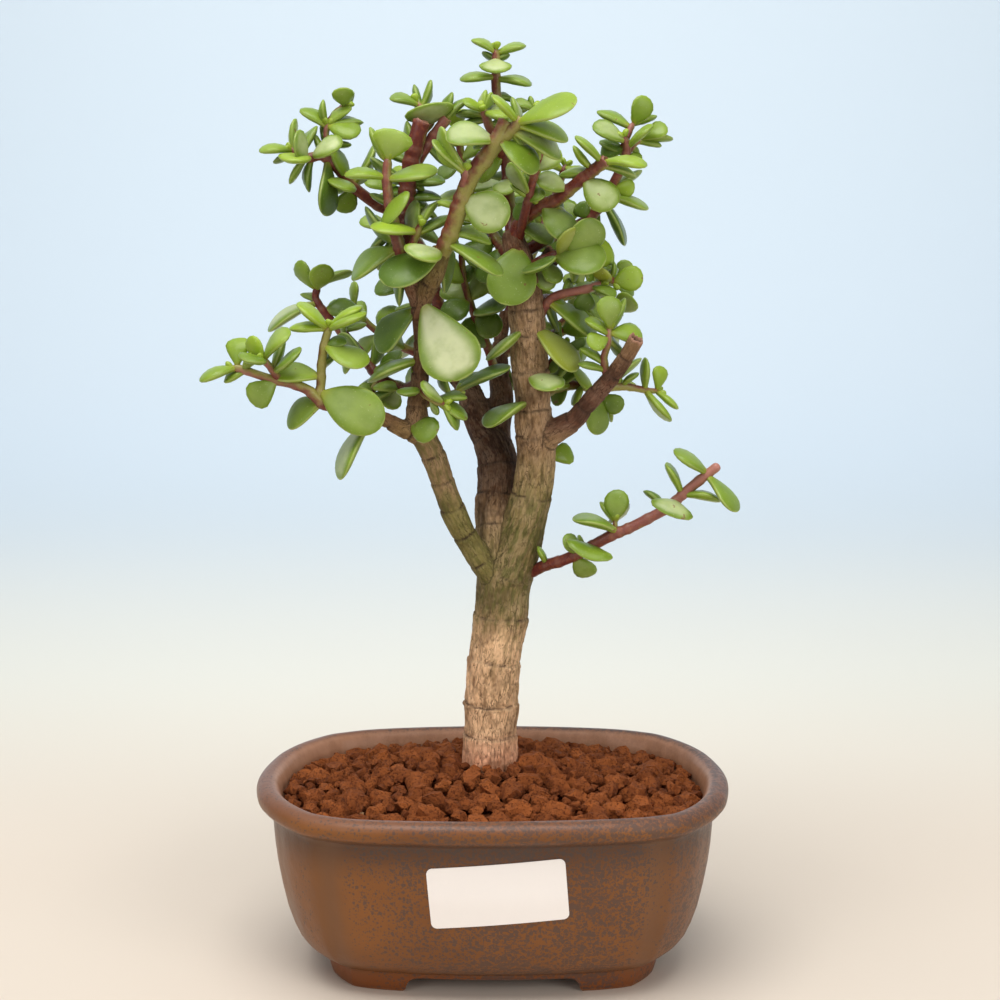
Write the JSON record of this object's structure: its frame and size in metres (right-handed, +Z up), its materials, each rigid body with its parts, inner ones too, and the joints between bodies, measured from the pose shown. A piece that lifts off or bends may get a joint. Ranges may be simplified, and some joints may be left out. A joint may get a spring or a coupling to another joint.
{
  "type": "potted dwarf jade bonsai",
  "caption": "Small dwarf jade bonsai with a forked trunk and round succulent leaves, in an oval glazed stoneware pot filled with clay granules.",
  "frame": {"origin": "middle of the whole object's footprint, on the surface that the pot's feet stand on", "axes": "+Z up along the tree; the pot's long side along X, with the label on the front at -Y"},
  "size_m": [0.1616, 0.111, 0.2899],
  "materials": {
    "pot_glaze": "semi-matt rust-brown glaze with grey mottling",
    "drain_plastic": "black moulded mesh",
    "soil_clay": "dry baked clay granules",
    "label_paper": "plain white sticker, left blank",
    "bark": "rough fibrous bark",
    "leaf": null
  },
  "bodies": {
    "root": {"pot": "pot_glaze", "drain_mesh_left": "drain_plastic", "drain_mesh_right": "drain_plastic", "soil": "soil_clay", "blank_label": "label_paper", "trunk": "bark", "shoot_top": "leaf", "shoot_front_leader": "leaf", "shoot_left_leader": "leaf", "shoot_left_upper": "leaf", "shoot_left_low": "leaf", "shoot_left_mid": "leaf", "shoot_branch_front": "leaf", "shoot_branch_inner": "leaf", "shoot_right_upper": "leaf", "shoot_right_top": "leaf", "shoot_right_mid": "leaf", "shoot_right_low": "leaf", "shoot_right_back_high": "leaf", "shoot_right_back_mid": "leaf", "shoot_right_back_low": "leaf", "shoot_stub_upright": "leaf", "shoot_stub_right": "leaf", "shoot_lower_right": "leaf", "shoot_back_left_tip": "leaf", "shoot_back_right_tip": "leaf", "shoot_crown_right": "leaf", "shoot_crown_left": "leaf", "shoot_inner_back": "leaf", "shoot_back_left_low": "leaf", "shoot_back_right_low": "leaf", "leaf_big_pale": "leaf", "leaf_centre": "leaf", "leaf_hanging": "leaf", "leaf_fork": "leaf", "leaf_behind_fork": "leaf", "leaf_branch_left": "leaf", "leaf_trunk_right": "leaf", "leaf_trunk_left": "leaf", "leaf_trunk_high": "leaf", "leaf_trunk_yellow": "leaf"}
  },
  "joints": []
}
